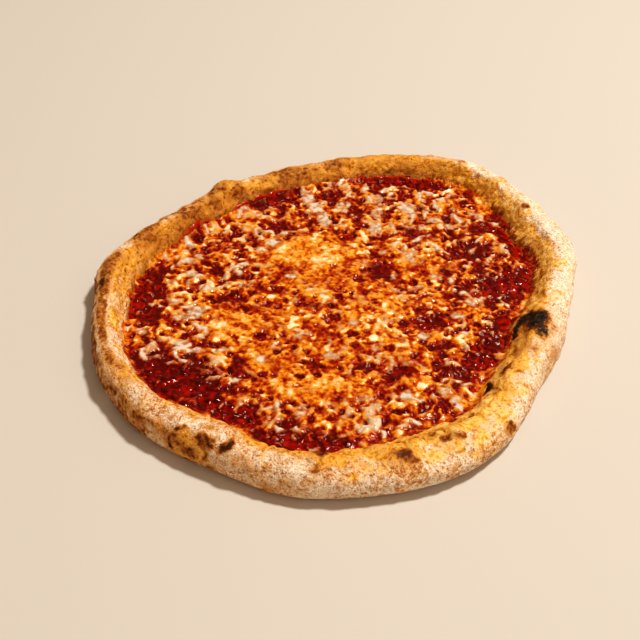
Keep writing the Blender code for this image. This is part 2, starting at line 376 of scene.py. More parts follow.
def dough_material():
    material, tree = start_material("baked_dough")
    place = add(tree, "TexCoord").outputs["Object"]
    coarse = add(tree, "TexNoise", {"Vector": place, "Scale": per_mm(PATCH), "Detail": 4.0}).outputs["Fac"]
    fine = add(tree, "TexNoise", {"Vector": place, "Scale": per_mm(CLUSTER), "Detail": 5.0}).outputs["Fac"]
    grit = add(tree, "TexNoise", {"Vector": place, "Scale": per_mm(PORE), "Detail": 3.0}).outputs["Fac"]
    marks = {
        name: add(tree, "Attribute", attribute_name=name).outputs["Fac"]
        for name in ("flour", "toast", "gold_and_painted_light", "brown", "char", "stain")
    }
    speck = add(tree, "Math", {0: fine, 1: 0.5, 2: grit}, operation="MULTIPLY_ADD")
    speck = add(tree, "Math", {0: speck.outputs[0], 1: 0.25}, operation="SUBTRACT").outputs[0]
    # The brown layer holds scorching and tan, and also painted shade on the left of the rim and in folds.
    scorch_and_shade = add(tree, "Math", {0: marks["brown"], 1: 0.7}, operation="MULTIPLY").outputs[0]
    scorch_and_shade = add(tree, "Math", {0: fine, 1: 0.9, 2: scorch_and_shade}, operation="MULTIPLY_ADD").outputs[0]
    scorch_and_shade = add(tree, "Math", {0: scorch_and_shade, 1: 0.25}, operation="SUBTRACT").outputs[0]
    # Gold lightens the toast: partly its own paler colour, partly painted light on slopes in shade.
    toast_tone_and_painted_light = add(tree, "Math", {0: marks["gold_and_painted_light"], 1: 0.12, 2: fine}, operation="MULTIPLY_ADD").outputs[0]
    ramps = {
        "skin": (speck, shades("#98561e", "#d29656", "#f2cc98")),
        "flour": (speck, shades("#c8986a", "#f0dcc0", "#fcf6ec")),
        "toast": (toast_tone_and_painted_light, shades("#8a4608", "#cc8018", "#eeac38", "#fcd684")),
        "stain": (fine, shades("#5a1e04", "#8c4008", "#c07818")),
        "brown": (scorch_and_shade, ((0.50, "#d89c46"), (0.68, "#bc7826"), (0.84, "#8e4c16"), (1.0, "#54240a"))),
        "char": (fine, shades("#0a0705", "#120c08", "#2e2118", "#5e4a38")),
    }
    hues = {
        name: add(tree, "ValToRGB", {"Fac": value}, stops=stops).outputs[0]
        for name, (value, stops) in ramps.items()
    }
    color = hues["skin"]
    # Each layer: its name, the noise that breaks it up, how much, and how soft its edge is.
    for name, grain, spread, edge in (
        ("flour", fine, 1.7, 0.45), ("toast", coarse, 2.0, 0.35), ("stain", fine, 1.6, 0.35),
        ("brown", fine, 1.25, 0.36), ("char", fine, 1.5, 0.30),
    ):
        color = layer_color(tree, color, hues[name], marks[name], grain, spread, edge)
    gloss = add(tree, "MapRange", {"Value": marks["toast"], "To Min": 0.80, "To Max": 0.50})
    pores = add(tree, "Math", {0: fine, 1: 0.8, 2: grit}, operation="MULTIPLY_ADD")
    bump = add(tree, "Bump", {"Strength": 1.0, "Distance": SKIN_DEPTH * MM, "Height": pores.outputs[0]})
    shader = add(
        tree, "BsdfPrincipled",
        {"Base Color": color, "Roughness": gloss.outputs[0], "Normal": bump.outputs[0],
         "Specular IOR Level": 0.15},
    )
    add(tree, "OutputMaterial", {"Surface": shader.outputs[0]})
    return material


dough = dough_material()
print("baked dough:", len(dough.node_tree.nodes), "nodes")

# %% [markdown]
# ## Crust
#
# The section is turned round the hub like a pot on a wheel, then each point is moved to the radius
# and height of its own angle. Blisters push the skin out along its normal.

# %% A turned shape
TURNS = 1000
MERGE = 0.001


def turned(rows):
    """A closed bmesh turned from rows, whose first and last lie on the axis.

    The rows only stand a little apart here. Their real places are set afterwards.
    """
    bm = bmesh.new()
    ring = bm.verts.layers.int.new("ring")
    line = []
    for index in range(len(rows)):
        reach = 0.0 if index in (0, len(rows) - 1) else RADIUS
        vert = bm.verts.new((reach, 0.0, 0.1 * index))
        vert[ring] = index
        line.append(vert)
    edges = [bm.edges.new(pair) for pair in zip(line, line[1:])]
    bmesh.ops.spin(
        bm, geom=line + edges, cent=(0, 0, 0), axis=(0, 0, 1),
        angle=math.tau, steps=TURNS, use_merge=True,
    )
    bmesh.ops.remove_doubles(bm, verts=bm.verts, dist=MERGE)
    return bm


def move_to(bm, spots):
    for vert, spot in zip(bm.verts, spots.tolist()):
        vert.co = spot


print("crust turned in steps of", round(math.tau * RADIUS / TURNS, 2), "mm at the edge")

# %% Turn the section and set its points
base_rows = [(across, 0.0, BASE) for across in (1.08, 1.25, 1.5, 1.75, 2.0)]
under_rows = [(across, 0.0, 0.0) for across in (2.0, 1.6, 1.2, 0.9, 0.6, 0.4)]
crust_rows = np.array([*under_rows, *section, *base_rows])
bm = turned(crust_rows)
ring = bm.verts.layers.int["ring"]
row = np.array([vert[ring] for vert in bm.verts])
across, share, floor = crust_rows[row].T
_, angle = about_hub(spots_of(bm))
radius = radius_at(across, angle)
height = floor + (rim_height(angle) - floor) * share
turn = np.radians(angle)
move_to(bm, np.stack([radius * np.cos(turn), radius * np.sin(turn), height], axis=1))
bmesh.ops.recalc_face_normals(bm, faces=bm.faces)
bm.normal_update()
print("rim", round(height.max(), 1), "mm high")

# %% [markdown]
# The solid holds the large blisters. The skin also has small ones, a few millimetres wide, and the
# grain of its flour. The inner slope is wrinkled, where the skin shrank over the puffed dough, and
# folded where one puff meets the next. All of it fades out on the flat base under the sauce.

# %% The solid's blisters: (angle, share of the way across, size, height), in degrees and mm
BLISTERS = (
    (131, 0.36, 8.5, 5.0), (-15, 0.50, 12.0, 2.2), (179, 0.40, 12.0, 2.0), (-61, 0.42, 9.0, 2.2),
    (-76, 0.36, 8.0, 2.0), (-94, 0.56, 7.0, 2.0), (-120, 0.22, 12.0, 1.6), (-113, 0.24, 6.0, 1.2),
    (-44, 0.44, 7.5, -2.2), (-34, 0.52, 8.0, 1.5), (38, 0.40, 9.0, 1.8), (59, 0.45, 8.0, 1.4),
    (163, 0.48, 6.0, 1.2), (-149, 0.40, 9.0, 1.2),
)
# They stand in full from this share of the rim's height up, and fade out over the last stretch before
# this place across.
BLISTER_LOW = 0.4
BLISTER_END = 0.66
BLISTER_FADE = 0.12
UNEVEN_SIZE = 22.0
UNEVEN_HEIGHT = 0.7


def blistering(across, angle):
    """How far the skin stands out in mm: the solid's blisters and its low unevenness."""
    radius = radius_at(across, angle)
    x = radius * np.cos(np.radians(angle))
    y = radius * np.sin(np.radians(angle))
    out = UNEVEN_HEIGHT * ripple(np.stack([x, y, 0.0 * x], axis=1), UNEVEN_SIZE)
    for middle, way, size, height in BLISTERS:
        reach = radius_at(np.array(way), np.array(float(middle)))
        turn = math.radians(middle)
        away = np.hypot(x - reach * math.cos(turn), y - reach * math.sin(turn))
        out += height * np.exp(-((away / size) ** 2))
    return out


# "Way" runs 0 at the underside's edge, about a half on the crest and 1 at the foot inside.
way = ((row - len(under_rows)) / (len(section) - 1.0)).clip(0.0, 1.0)
inner = ease(way, 0.54, 0.66)
on_rim = row >= len(under_rows)
above = (share / BLISTER_LOW).clip(0.0, 1.0) * on_rim
large = above * ((BLISTER_END - across) / BLISTER_FADE).clip(0.0, 1.0)
grainy = np.where(across > 1.0, 0.0, above)
blisters = blistering(across, angle) * large
print("large blisters from", blisters.min().round(2), "to", blisters.max().round(2), "mm")

# %% Grain, wrinkles and puffs, in mm, with the stretches of the rim that puffed up most
PUFFED = ((-55, 26, 0.55), (20, 24, 0.25), (150, 30, 0.2))
spots = spots_of(bm)
grain = 0.70 * ripple(spots, 9.0, 3.0) + 0.40 * ripple(spots, 3.4, 9.0) + 0.24 * ripple(spots, 1.7, 5.0)
wrinkles = 0.55 * (billow(spots, 5.5, 21.0) - 0.5) * inner
puffs = billow(spots, 13.0, 63.0)
puffy = (0.45 + swell(angle, PUFFED)) * ease(way, 0.40, 0.54)
print("wrinkles from", wrinkles.min().round(2), "to", wrinkles.max().round(2), "mm")

# %% Small blisters, scattered over the crest and a little down both sides
SMALL_BLISTERS = 90
SMALL_SIZE = (1.8, 4.5)
SMALL_HEIGHT = (0.35, 0.9)
BLISTER_SEED = 5
chance = random.Random(BLISTER_SEED)
bubbles = np.zeros(len(spots))
crest_band = np.flatnonzero((way > 0.30) & (way < 0.80))
for _ in range(SMALL_BLISTERS):
    middle = spots[chance.choice(crest_band)]
    away = np.linalg.norm(spots - middle, axis=1) / chance.uniform(*SMALL_SIZE)
    bubbles = np.maximum(bubbles, chance.uniform(*SMALL_HEIGHT) * (1.0 - away**2).clip(0.0, 1.0))
print("small blisters up to", bubbles.max().round(2), "mm high")

# %% Push the skin out, and curl the outer edge up off the floor where it baked clear of it
LIFT_SWELLS = ((-72, 14, 1.8), (60, 12, 1.2), (150, 10, 1.0))
# The outer skin lies this far in from the solid's, so that its grain stands about as proud.
SKIN_SUNK = 0.55
skin = grain + wrinkles + bubbles + 1.8 * (puffs - 0.6) * puffy - SKIN_SUNK * (1.0 - inner)
out = blisters + skin * grainy
normals = np.array([vert.normal[:] for vert in bm.verts])
spots = spots + normals * out[:, None]
curl = swell(angle, LIFT_SWELLS) * ((1.0 - across / CREST).clip(0.0, 1.0)) ** 2
outside = (row > len(under_rows)) & (row < len(under_rows) + crest_row) & (share > 0.0)
spots[:, 2] += np.where(outside, curl, 0.0)
move_to(bm, spots)
print("skin moved", out.min().round(2), "to", out.max().round(2), "mm")

# %% [markdown]
# Where the skin is floury, toasted, browned, scorched or stained by sauce follows the bake. Broad
# zones are swells round the rim, as its form is, and each scorched blister is a listed oval.
# Part of the brown, on the left of the rim and in the folds, is painted shade instead.

# %% Scorched, brown and amber marks, each an oval on the skin
# (angle, way along the section, half length along the rim, half width, turn, amount), in degrees,
# shares and mm
CHAR_MARKS = (
    (-8.8, 0.69, 5.2, 5.0, 0, 1.0), (-10.6, 0.62, 6.6, 6.4, 0, 1.1), (-13.6, 0.60, 6.4, 6.0, 0, 1.0),
    (-16.6, 0.57, 5.0, 4.4, 0, 0.75), (-9.8, 0.75, 5.0, 5.0, 0, 1.0), (-12.4, 0.78, 4.4, 4.4, 0, 0.9),
    (-14.8, 0.79, 4.0, 4.0, 0, 0.85), (-40.9, 0.82, 5.8, 2.6, -50, 1.15), (-34.0, 0.68, 3.0, 1.8, 0, 0.7),
    (12.2, 0.77, 2.0, 2.0, 0, 0.7), (-94.0, 0.60, 2.6, 2.0, 0, 0.7), (-118.0, 0.41, 2.6, 2.0, 0, 0.55),
    (-113.9, 0.42, 2.2, 1.5, 60, 0.55), (-176.0, 0.46, 4.0, 1.6, 0, 0.7),
)
BROWN_MARKS = (
    (-12.0, 0.66, 16.0, 14.0, 0, 0.72), (-14.0, 0.50, 10.0, 6.0, 0, 0.65),
    (-40.0, 0.83, 8.0, 4.4, -50, 1.0), (-34.0, 0.67, 5.5, 4.4, 0, 1.0),
    (-120.0, 0.42, 5.5, 3.0, 0, 1.0), (-118.0, 0.41, 5.0, 4.4, 0, 1.1), (-121.5, 0.27, 4.6, 3.6, 0, 1.0),
    (-125.5, 0.36, 4.0, 3.0, 0, 0.9), (-113.4, 0.44, 6.2, 2.7, 62, 1.15), (-119.0, 0.53, 2.4, 2.2, 0, 0.8),
    (-147.7, 0.56, 6.0, 3.6, 0, 0.75), (-142.4, 0.55, 9.0, 4.0, 0, 0.55), (-93.8, 0.61, 6.4, 4.4, 0, 1.1),
    (-94.6, 0.46, 4.4, 3.8, 0, 0.8), (-110.7, 0.40, 8.0, 5.0, 0, 0.55), (-101.0, 0.31, 6.0, 3.0, 0, 0.55),
    (-97.0, 0.27, 3.0, 2.0, 0, 0.5), (-78.6, 0.54, 4.5, 2.6, 0, 0.8), (-75.2, 0.50, 6.4, 4.4, 0, 1.1),
    (-73.8, 0.45, 3.5, 2.5, 0, 0.9), (-61.7, 0.84, 3.6, 2.4, 0, 0.9), (-64.7, 0.54, 5.0, 3.4, 20, 1.1),
    (-67.6, 0.64, 3.4, 3.0, 0, 0.8), (-60.9, 0.51, 3.6, 3.0, 0, 0.9), (-54.4, 0.69, 3.6, 2.6, 30, 0.9),
    (-57.7, 0.51, 3.0, 2.4, 0, 0.7), (-47.4, 0.33, 6.0, 3.6, 0, 0.9), (-65.1, 0.32, 2.6, 2.6, 0, 0.5),
    (36.5, 0.60, 4.0, 3.4, 0, 1.0), (1.3, 0.66, 4.0, 3.0, 0, 0.7), (14.0, 0.77, 8.0, 2.6, 0, 0.8),
    (60.0, 0.55, 4.5, 3.0, 0, 0.75), (-176.0, 0.46, 6.0, 3.0, 0, 1.0), (150.0, 0.50, 5.0, 2.6, 0, 0.6),
    (-167.0, 0.70, 4.0, 3.0, 0, 0.6), (100.0, 0.50, 3.0, 1.6, 0, 0.7), (88.0, 0.52, 4.0, 2.0, 0, 0.7),
    (24.0, 0.74, 10.0, 3.0, 0, 0.7), (4.0, 0.74, 9.0, 2.6, 0, 0.7), (-20.0, 0.36, 9.0, 5.0, 0, 0.55),
)
# A raised blister turns amber in the middle and, by its amount, brown round its edge.
AMBER_BLISTERS = (
    (-121.6, 0.32, 11.0, 9.0, 0, 1.1), (179.0, 0.57, 9.0, 8.0, 0, 0.8), (130.5, 0.51, 8.5, 7.5, 0, 0.8),
    (-17.6, 0.68, 9.0, 7.0, 0, 0.0), (-31.0, 0.62, 10.0, 7.0, 0, 0.0), (-93.0, 0.57, 10.0, 5.0, 0, 0.0),
    (-164.0, 0.72, 8.0, 5.0, 0, 0.0), (-63.0, 0.66, 22.0, 7.0, 0, 0.0), (-78.0, 0.56, 14.0, 6.0, 0, 0.0),
)
print(len(CHAR_MARKS), "scorched,", len(BROWN_MARKS), "brown and", len(AMBER_BLISTERS), "amber marks")


# %% Lay the marks on the skin
def ovals(spots, angle, way, marks):
    """For each mark: distance from its middle over the skin, as a share of the way to its edge."""
    for middle, along, length, width, tilt, amount in marks:
        turn = (angle - middle + 180.0) % 360.0 - 180.0
        close = np.argmin(np.abs(turn) / 180.0 + np.abs(way - along) * 3.0 + (way <= 0.0) + (way >= 1.0))
        aim_turn = math.radians(angle[close] + 90.0)
        aim = np.array([math.cos(aim_turn), math.sin(aim_turn), 0.0])
        away = spots - spots[close]
        run = away @ aim
        aside = np.sqrt(np.maximum(0.0, (away**2).sum(axis=1) - run**2))
        side = np.where(way > along, 1.0, -1.0) * aside
        tilt = math.radians(tilt)
        u = run * math.cos(tilt) + side * math.sin(tilt)
        v = side * math.cos(tilt) - run * math.sin(tilt)
        yield np.hypot(u / length, v / width), amount


astray = wandered(wandered(spots, 7.0, 2.4, 150.0), 2.6, 1.3, 50.0)
brown = np.zeros(len(spots))
char = np.zeros(len(spots))
amber = np.zeros(len(spots))
for away, amount in ovals(astray, angle, way, BROWN_MARKS):
    brown = np.maximum(brown, amount * (1.0 - ease(away, 0.3, 1.5)))
for away, amount in ovals(astray, angle, way, CHAR_MARKS):
    char = np.maximum(char, amount * (1.0 - ease(away, 0.4, 1.35)))
    brown = np.maximum(brown, amount * (1.0 - ease(away, 0.8, 1.9)))
for away, amount in ovals(astray, angle, way, AMBER_BLISTERS):
    amber = np.maximum(amber, 1.0 - ease(away, 0.75, 1.1))
    edge = amount * np.exp(-(((away - 0.94) / 0.15) ** 2))
    brown = np.maximum(brown, edge * (0.85 + ripple(spots, 5.0, 33.0)))
print("scorched points", (char > 0.5).sum(), "and browned", (brown > 0.5).sum(), "of", len(spots))

# %% Tan mottling and streaks, partly painted shade on the left, and painted shade in the folds
# Near -142 to -172 degrees, on the left of the rim, this tan is partly painted shade.
TANNED_AND_SHADED = (
    (-168, 16, 1.5), (142, 28, 1.05), (98, 18, 0.65), (74, 10, 0.5), (-62, 14, 0.4), (-95, 16, 0.4),
    (-24, 12, 0.7),
)
TANNED_AND_SHADED_OUTSIDE = ((-142, 22, 1.2), (-106, 12, 0.45), (-172, 16, 1.2), (-40, 12, 0.3), (-20, 10, 0.7))
# Where the inner slope kept its flour.
PALE_INSIDE = ((-150, 18, 1.0), (-174, 12, 0.5))
# Where it toasted only further down, and its folds get less painted shade.
TOASTED_LOW = ((30, 22, 1.0),)
TAN_AND_SHADE_MOST = 0.85
pale_inside = swell(angle, PALE_INSIDE)
toasted_low = swell(angle, TOASTED_LOW)
blotches = 0.65 * ripple(spots, 14.0, 35.0) + 0.55 * ripple(astray, 5.0, 37.0)
tan_and_shade = swell(angle, TANNED_AND_SHADED) * (0.65 + 0.8 * blotches) * ease(way, 0.38, 0.50)
streaky = 0.55 * ripple(spots, 12.0, 36.0) + 0.35 * ripple(astray, 5.0, 38.0)
streaky = streaky + 0.35 * ripple(astray, 2.4, 40.0)
outside_tan_and_shade = swell(angle, TANNED_AND_SHADED_OUTSIDE) * (0.52 + 0.9 * streaky) * (1.0 - ease(way, 0.34, 0.48))
tan_and_shade = np.maximum(tan_and_shade, outside_tan_and_shade).clip(None, TAN_AND_SHADE_MOST)
# The brown layer takes in the tan, and with it that painted shade.
brown = np.maximum(brown, tan_and_shade * (1.0 - pale_inside * inner))
# Painted shade: brown in the creases between the puffs, just inside the crest.
fold_shade = (1.0 - ease(puffs, 0.0, 0.45)) * puffy * ease(way, 0.50, 0.60) * (1.0 - 0.8 * toasted_low)
brown = np.maximum(brown, fold_shade * (0.75 + 0.6 * ripple(astray, 6.0, 39.0)))
print("tan on", round(float((tan_and_shade > 0.5).mean()), 2), "of the points")

# %% Flour on the crest and outside, toasted skin on the inner slope
FLOURED = ((8, 36, 0.50), (50, 14, 0.40), (-72, 30, 0.02), (-168, 22, 0.20), (146, 10, 0.10))
TOASTED = (
    (95, 34, 0.30), (74, 12, 0.30), (132, 16, 0.15), (178, 12, 0.20), (-142, 10, 0.15), (-52, 24, 0.50),
    (10, 34, 0.10),
)
# Partly paler toast, partly painted light where the inner slope faces away from the key.
GOLD_AND_PAINTED_LIGHT = ((-52, 26, 1.0), (18, 26, 1.0), (-160, 26, 0.5), (110, 20, 0.3))
patchy = 0.5 * ripple(spots, 20.0, 7.0) + 0.35 * ripple(spots, 8.0, 77.0)
flour = 0.50 + swell(angle, FLOURED) + patchy - (0.60 - 0.35 * pale_inside) * inner - 0.6 * amber
flour = flour - 0.15 * toasted_low * ease(way, 0.57, 0.68)
toast = 0.10 + swell(angle, TOASTED) * ease(way, 0.30, 0.50) + 0.45 * ripple(spots, 12.0, 2.0)
lower = mix(inner, ease(way, 0.60, 0.75), toasted_low)
toast = toast + (0.68 - 0.55 * pale_inside) * lower + 0.9 * amber
print("flour", flour.mean().round(2), "and toast", toast.mean().round(2), "on average")

# %% Sauce that ran and splashed on the inner slope, in streaks down it
STAINED = ((84, 24, 0.45), (24, 26, 0.50), (158, 22, 0.45), (-25, 14, 0.1), (-104, 12, 0.6))
stained = swell(angle, STAINED)
foot = SAUCE_EDGE + swell(angle, SAUCE_EDGE_SWELLS) - across
run_down = np.stack([1.4 * radius * turn, 0.25 * radius, 0.0 * radius], axis=1)
streaks = ripple(run_down, 3.0, 12.0) + 0.5 * ripple(spots, 6.0, 12.0)
stain_reach = (0.5 * streaks + 0.12 + 0.5 * stained).clip(0.02, 1.0) * 0.45
stain = (0.55 + stained) * (1.0 - ease(foot / stain_reach, 0.0, 1.0)) * inner
print("stained points", (stain > 0.5).sum())

# %% Paint the layers. Gold lightens the toasted skin, partly as painted light on slopes in shade
layers = {
    "flour": flour, "toast": toast, "gold_and_painted_light": swell(angle, GOLD_AND_PAINTED_LIGHT), "brown": brown, "char": char,
    "stain": stain,
}
for name, values in layers.items():
    paint(bm, name, values)
finish_piece(bm, "baked_crust", dough, "crust")

# %% [markdown]
# ## Where the cheese lies
#
# The layout repeats the bare patches of the solid. `cover` says how far inside the cheese a point is.

# %% Bare patches of sauce: (x, y, half length, half width, direction), in mm from the hub
BARE_PATCHES = (
    (-83, -68, 28, 12, -35), (-112, -11, 10, 12, 90), (-106, 13, 14, 8, 100), (-99, 59, 17, 9, 55),
    (-52, 95, 22, 9, 25), (30, 121, 40, 9, 0), (-12, 117, 16, 5, 10), (101, 58, 22, 6, 105),
    (94, 21, 17, 13, -10), (83, -22, 16, 7, 60), (71, -38, 7, 6, 40), (66, -54, 9, 4, 0),
    (108, 36, 10, 7, 90), (-24, -104, 21, 8, -5), (3, -106, 9, 7, 0), (-50, -90, 13, 7, -25),
    (20, 28, 7, 5, 20), (26, -54, 6, 4, 70), (42, -14, 6, 4, 0),
)
# At the foot of the rim a point counts as this far inside, and loses this much with each mm outwards.
FOOT_INSIDE = 7.0
RIM_STEEPNESS = 1.6


def from_oval(spots, x, y, length, width, direction):
    """Distance from an oval's middle as a share of the way to its edge."""
    turn = math.radians(direction)
    along = (spots[:, 0] - x) * math.cos(turn) + (spots[:, 1] - y) * math.sin(turn)
    aside = (spots[:, 1] - y) * math.cos(turn) - (spots[:, 0] - x) * math.sin(turn)
    return np.hypot(along / length, aside / width)


def cover(spots):
    """How far inside the cheese's outline each point lies, in mm, with an uneven edge."""
    radius, angle = about_hub(spots)
    inside = (radius_at(1.0, angle) - radius) * RIM_STEEPNESS + FOOT_INSIDE
    for patch in BARE_PATCHES:
        inside = np.minimum(inside, (from_oval(spots, *patch) - 1.0) * patch[3])
    return inside + 3.0 * ripple(spots, 11.0)


print(len(BARE_PATCHES), "bare patches of sauce")

# %% [markdown]
# A thin layer is a fine square sheet, trimmed to the outline, with its top moved to the layer's
# height. Where the height falls under the layer below, that layer shows: the ragged edges of melted
# cheese and of sauce come about by themselves.

# %% Sheets
def sheet(spacing, reach, first_across):
    """A flat grid trimmed to the faces that lie further in than first_across."""
    cells = round(2.0 * reach / spacing)
    bm = bmesh.new()
    bmesh.ops.create_grid(bm, x_segments=cells, y_segments=cells, size=reach)
    radius, angle = about_hub(spots_of(bm))
    out = across_at(radius, angle) < first_across
    bm.verts.ensure_lookup_table()
    outside = [vert for vert, gone in zip(bm.verts, out.tolist()) if gone]
    bmesh.ops.delete(bm, geom=outside, context="VERTS")
    return bm


def close_below(bm, steps):
    """Carries the sheet's edge down through rings (across, height above the dough), then closes it."""
    for across, lift in steps:
        rim = [edge for edge in bm.edges if edge.is_boundary]
        made = bmesh.ops.extrude_edge_only(bm, edges=rim)["geom"]
        fresh = [item for item in made if isinstance(item, bmesh.types.BMVert)]
        spots = np.array([vert.co[:] for vert in fresh])
        radius, angle = about_hub(spots)
        inward = np.maximum(across_at(radius, angle), across)
        reach = radius_at(inward, angle)
        low = dough_height(inward, angle) + lift
        for vert, far, turn, z in zip(fresh, reach.tolist(), np.radians(angle).tolist(), low.tolist()):
            vert.co = (far * math.cos(turn), far * math.sin(turn), z)
    rim = [edge for edge in bm.edges if edge.is_boundary]
    bmesh.ops.contextual_create(bm, geom=rim)


# %% [markdown]
# ### Tomato sauce
#
# Crushed tomato, cooked down: dark red, wet and lumpy with pulp. It is darkest where it pools and
# turns orange-red where it thins out on the rim. Its gloss is a wet one, but the red is deep, so the
# shine is kept to small bright spots on the lumps. The film of oil on it warms them a little.

# %% Tomato sauce material: sizes of its pulp and of the ripples that break up its shine, in mm
OIL = "#ffe2cc"
PULP = 3.4
SHINE = 1.6
SAUCE_RIPPLE = 0.4


def sauce_material():
    material, tree = start_material("cooked_tomato_sauce")
    place = add(tree, "TexCoord").outputs["Object"]
    fine = add(tree, "TexNoise", {"Vector": place, "Scale": per_mm(PULP), "Detail": 5.0}).outputs["Fac"]
    grit = add(tree, "TexNoise", {"Vector": place, "Scale": per_mm(SHINE), "Detail": 1.0}).outputs["Fac"]
    body = add(tree, "Attribute", attribute_name="body").outputs["Fac"]
    shift = add(tree, "Math", {0: fine, 1: 0.5}, operation="SUBTRACT")
    broken = add(tree, "Math", {0: shift.outputs[0], 1: 1.7, 2: body}, operation="MULTIPLY_ADD")
    color = add(
        tree, "ValToRGB", {"Fac": broken.outputs[0]},
        stops=((0.0, "#a44a14"), (0.15, "#a42a08"), (0.40, "#a20e02"), (0.68, "#7e0400"),
               (1.0, "#420000")),
    ).outputs[0]
    bump = add(tree, "Bump", {"Strength": 1.0, "Distance": SAUCE_RIPPLE * MM, "Height": grit})
    shader = add(
        tree, "BsdfPrincipled",
        {"Base Color": color, "Roughness": 0.11, "Normal": bump.outputs[0],
         "Specular IOR Level": 0.22, "Specular Tint": linear(OIL)},
    )
    add(tree, "OutputMaterial", {"Surface": shader.outputs[0]})
    return material


red_sauce = sauce_material()
print("tomato sauce:", len(red_sauce.node_tree.nodes), "nodes")

# %% How thick the sauce is
SAUCE = 1.7
SAUCE_THINS_OVER = 0.10


def past_edge(radius, angle):
    """How far inside the sauce's edge a point lies, as a share of the stretch that it thins over."""
    inside = across_at(radius, angle) - SAUCE_EDGE - swell(angle, SAUCE_EDGE_SWELLS)
    return inside / SAUCE_THINS_OVER


def sauce_body(radius, angle):
    """Mean thickness of the sauce in mm, which goes to nothing on the rim's inner slope."""
    return SAUCE * ease(past_edge(radius, angle), -0.4, 1.0)


def sauce_lift(spots):
    """Height of the sauce over the dough in mm, negative past its edge."""
    radius, angle = about_hub(spots)
    inside = past_edge(radius, angle) + 0.5 * ripple(spots, 6.0, 8.0)
    pulp = 0.9 * ripple(spots, 9.0, 1.0) + 1.2 * ripple(spots, 4.2, 6.0) + 0.35 * ripple(spots, 2.1, 16.0)
    body = sauce_body(radius, angle) - 0.4
    return np.where(inside < 0.0, 3.0 * inside, body.clip(0.05, None)) + pulp * ease(inside, 0.0, 0.9)


print("sauce on the base", sauce_body(np.array([60.0]), np.array([0.0])).round(2), "mm thick")

# %% Sauce: its grid, where it starts on the rim, and the rings that close it, in shares and mm
SAUCE_SPACING = 0.68
SAUCE_REACH = 126.0
SAUCE_START = 0.72
SAUCE_RINGS = ((0.70, -3.0), (0.80, -2.6), (0.92, -1.2), (1.02, 0.2))
SAUCE_DEEPEST = -2.5
# The thickness at which it shows its darkest red.
SAUCE_DARKEST = 2.2
# The deepest pool, as an oval like the bare patches.
SAUCE_POOL = (-88, -58, 46, 26, -35)
bm = sheet(SAUCE_SPACING, SAUCE_REACH, SAUCE_START)
spots = spots_of(bm)
radius, angle = about_hub(spots)
lift = np.maximum(sauce_lift(spots), SAUCE_DEEPEST)
spots[:, 2] = dough_height(across_at(radius, angle), angle) + lift
move_to(bm, spots)
pooled = 1.0 - ease(from_oval(spots, *SAUCE_POOL), 0.5, 1.2)
paint(bm, "body", (lift / SAUCE_DARKEST + 0.15 * pooled).clip(0.0, 1.0))
close_below(bm, SAUCE_RINGS)
finish_piece(bm, "tomato_sauce", red_sauce, "sauce")

# %% [markdown]
# ### Melted mozzarella
#
# Shreds melt into a film full of pits where steam broke through. Thin film shows the sauce through as
# orange, thick film is yellow with cream flecks, and what barely melted stays peach to ivory. It is
# close to opaque, oily and a little glossy.

# %% Melted mozzarella material: size of the curds in it and height of its ripples, in mm
CURD = 2.2
CHEESE_RIPPLE = 0.35


def cheese_material():
    material, tree = start_material("melted_mozzarella")
    place = add(tree, "TexCoord").outputs["Object"]
    fine = add(tree, "TexNoise", {"Vector": place, "Scale": per_mm(CURD), "Detail": 6.0}).outputs["Fac"]
    grit = add(tree, "TexNoise", {"Vector": place, "Scale": per_mm(SHINE), "Detail": 1.0}).outputs["Fac"]
    film = add(tree, "Attribute", attribute_name="film").outputs["Fac"]
    white = add(tree, "Attribute", attribute_name="white").outputs["Fac"]
    shift = add(tree, "Math", {0: fine, 1: 0.5}, operation="SUBTRACT")
    broken = add(tree, "Math", {0: shift.outputs[0], 1: 1.2, 2: film}, operation="MULTIPLY_ADD")
    color = add(
        tree, "ValToRGB", {"Fac": broken.outputs[0]},
        stops=((0.0, "#580200"), (0.14, "#7e0a00"), (0.28, "#9a2804"), (0.42, "#bc540a"),
               (0.57, "#da8618"), (0.74, "#eeaa40"), (0.98, "#fbe8c0")),
    ).outputs[0]
    unmelted = add(tree, "Math", {0: shift.outputs[0], 1: 1.1, 2: white}, operation="MULTIPLY_ADD")
    ivory = add(
        tree, "ValToRGB", {"Fac": unmelted.outputs[0]},
        stops=((0.30, "#b0662a"), (0.55, "#be8856"), (0.80, "#c2a284"), (1.0, "#dacbb8")),
    ).outputs[0]
    color = layer_color(tree, color, ivory, white, fine, 0.9, 0.50)
    bump = add(tree, "Bump", {"Strength": 0.8, "Distance": CHEESE_RIPPLE * MM, "Height": grit})
    gloss = add(tree, "MapRange", {"Value": film, "From Max": 0.5, "To Min": 0.24, "To Max": 0.12})
    shader = add(
        tree, "BsdfPrincipled",
        {"Base Color": color, "Roughness": gloss.outputs[0], "Normal": bump.outputs[0],
         "Specular IOR Level": 0.20, "Specular Tint": linear(OIL)},
    )
    add(tree, "OutputMaterial", {"Surface": shader.outputs[0]})
    return material


mozzarella = cheese_material()
print("melted mozzarella:", len(mozzarella.node_tree.nodes), "nodes")

# %% Melted areas: (x, y, half length, half width, direction, amount), in mm from the hub
MELTS = (
    (-20, 40, 36, 17, 5, 1.2), (42, 30, 20, 18, 0, 0.80), (-56, -28, 25, 15, -55, 0.92),
    (-38, -50, 18, 12, -35, 1.1), (-16, -65, 34, 14, 0, 1.2), (38, -40, 15, 12, 0, 0.70),
    (-38, -16, 20, 14, 10, 0.85), (4, -4, 60, 54, 0, 0.66),
    (62, -3, 17, 12, 0, 0.8), (5, 70, 52, 12, 0, 0.35), (-10, 20, 40, 14, 0, 0.90),
    (30, -60, 24, 12, 0, 0.6),
)
print(len(MELTS), "melted areas")


